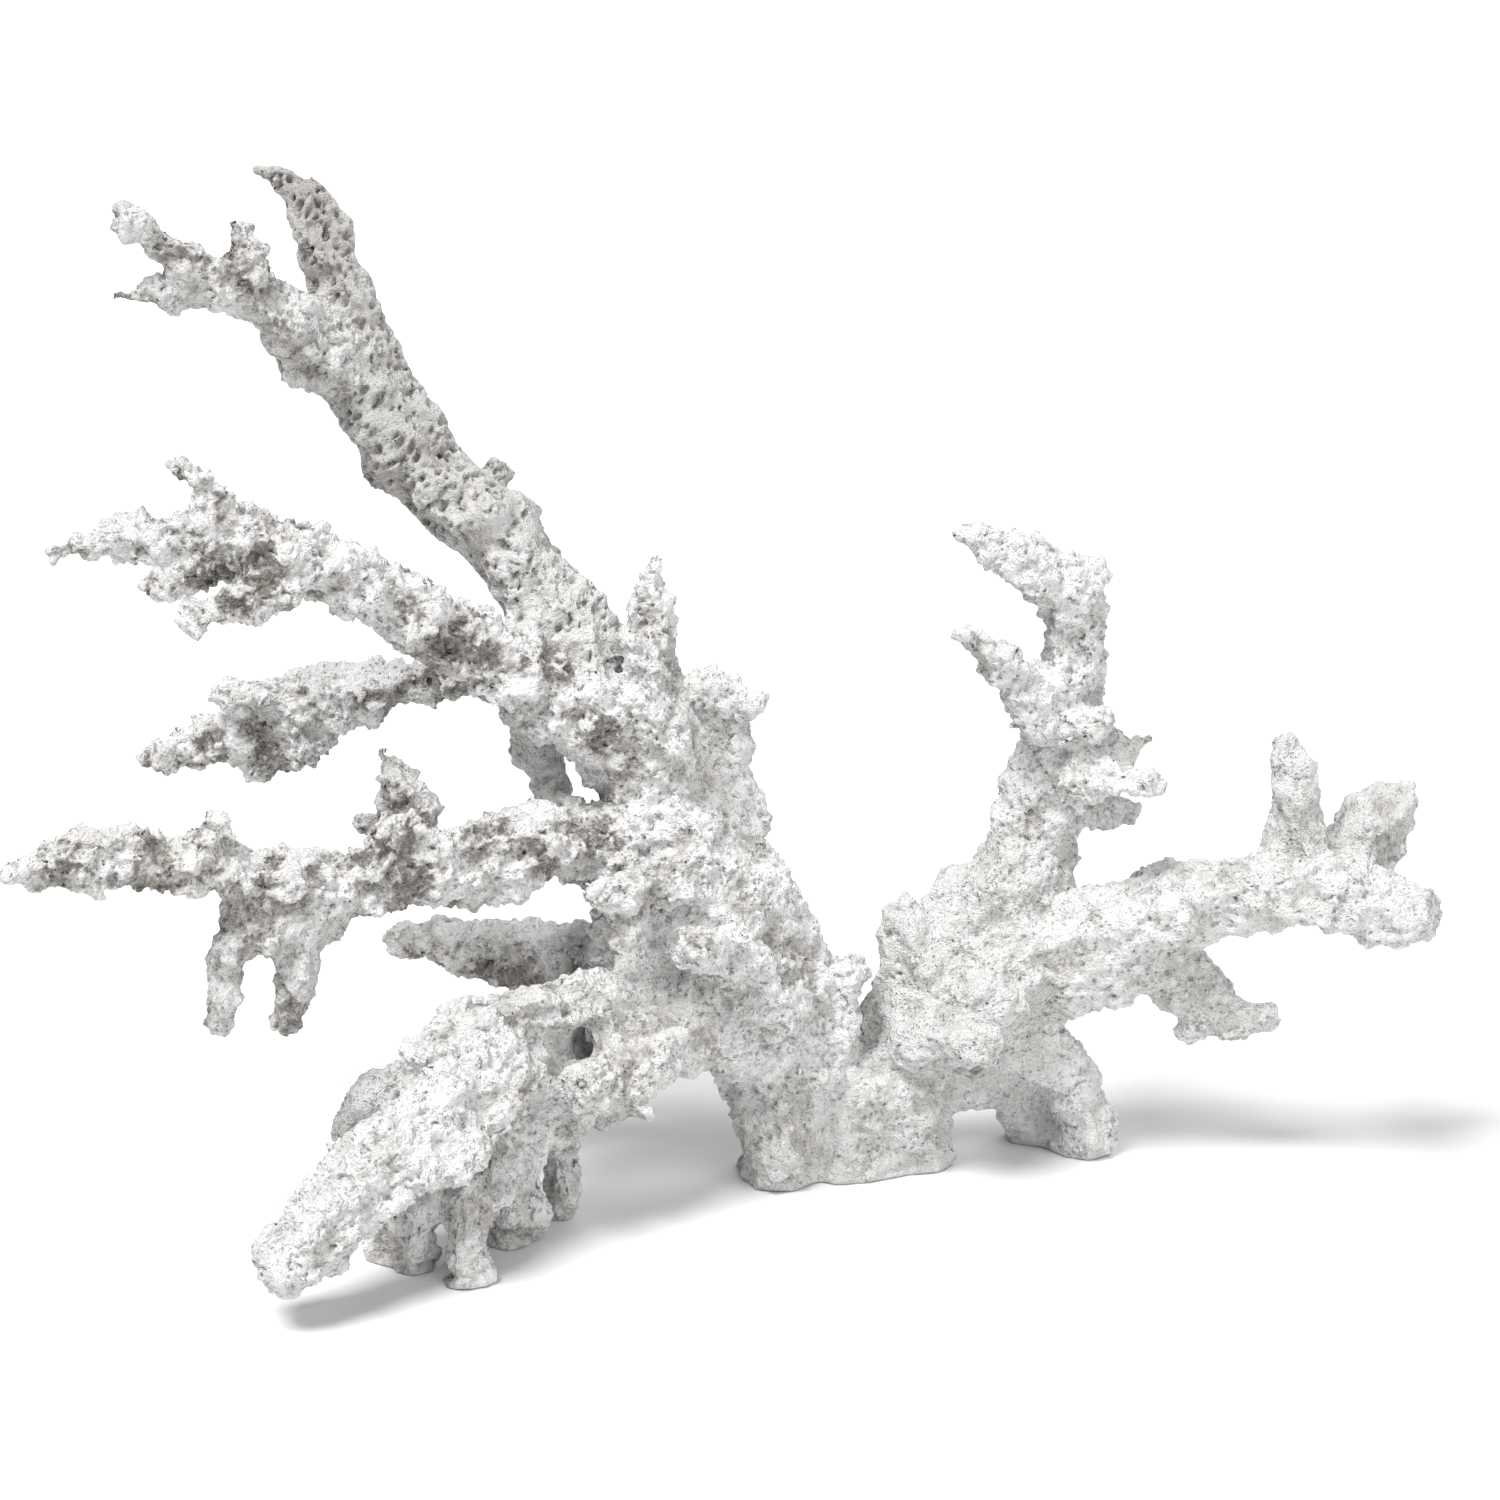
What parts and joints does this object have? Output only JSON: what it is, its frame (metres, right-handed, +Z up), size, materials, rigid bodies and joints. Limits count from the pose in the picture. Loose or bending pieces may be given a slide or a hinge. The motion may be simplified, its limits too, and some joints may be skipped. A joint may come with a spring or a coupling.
{
  "type": "branch coral",
  "caption": "Bleached branch coral with two forking stems on a flat-cut base, knobbly arms and short fingers, standing free on worn feet.",
  "frame": {"origin": "middle of the bounding box's footprint, on the surface that the cut feet stand on", "axes": "+X to the viewer's right along the fan of branches, +Y away from the viewer, +Z up"},
  "size_m": [0.435, 0.2004, 0.32],
  "materials": {
    "coral_skeleton": "chalky white limestone skeleton, matte and porous, a little greyer in its pits"
  },
  "bodies": {
    "root": {"base_foot": "coral_skeleton", "left_trunk": "coral_skeleton", "right_stem": "coral_skeleton", "crest_branch": "coral_skeleton", "crest_fork": "coral_skeleton", "shoulder_branch": "coral_skeleton", "side_branch": "coral_skeleton", "hanging_prongs": "coral_skeleton", "trunk_spike": "coral_skeleton", "broken_stub": "coral_skeleton", "rear_branch": "coral_skeleton", "bridge_strut": "coral_skeleton", "low_branch": "coral_skeleton", "front_leg": "coral_skeleton", "front_arm": "coral_skeleton", "rear_finger": "coral_skeleton", "upright_branch": "coral_skeleton", "reaching_branch": "coral_skeleton", "reaching_tips": "coral_skeleton", "small_tip": "coral_skeleton", "drooping_branch": "coral_skeleton", "right_legs": "coral_skeleton"}
  },
  "joints": []
}
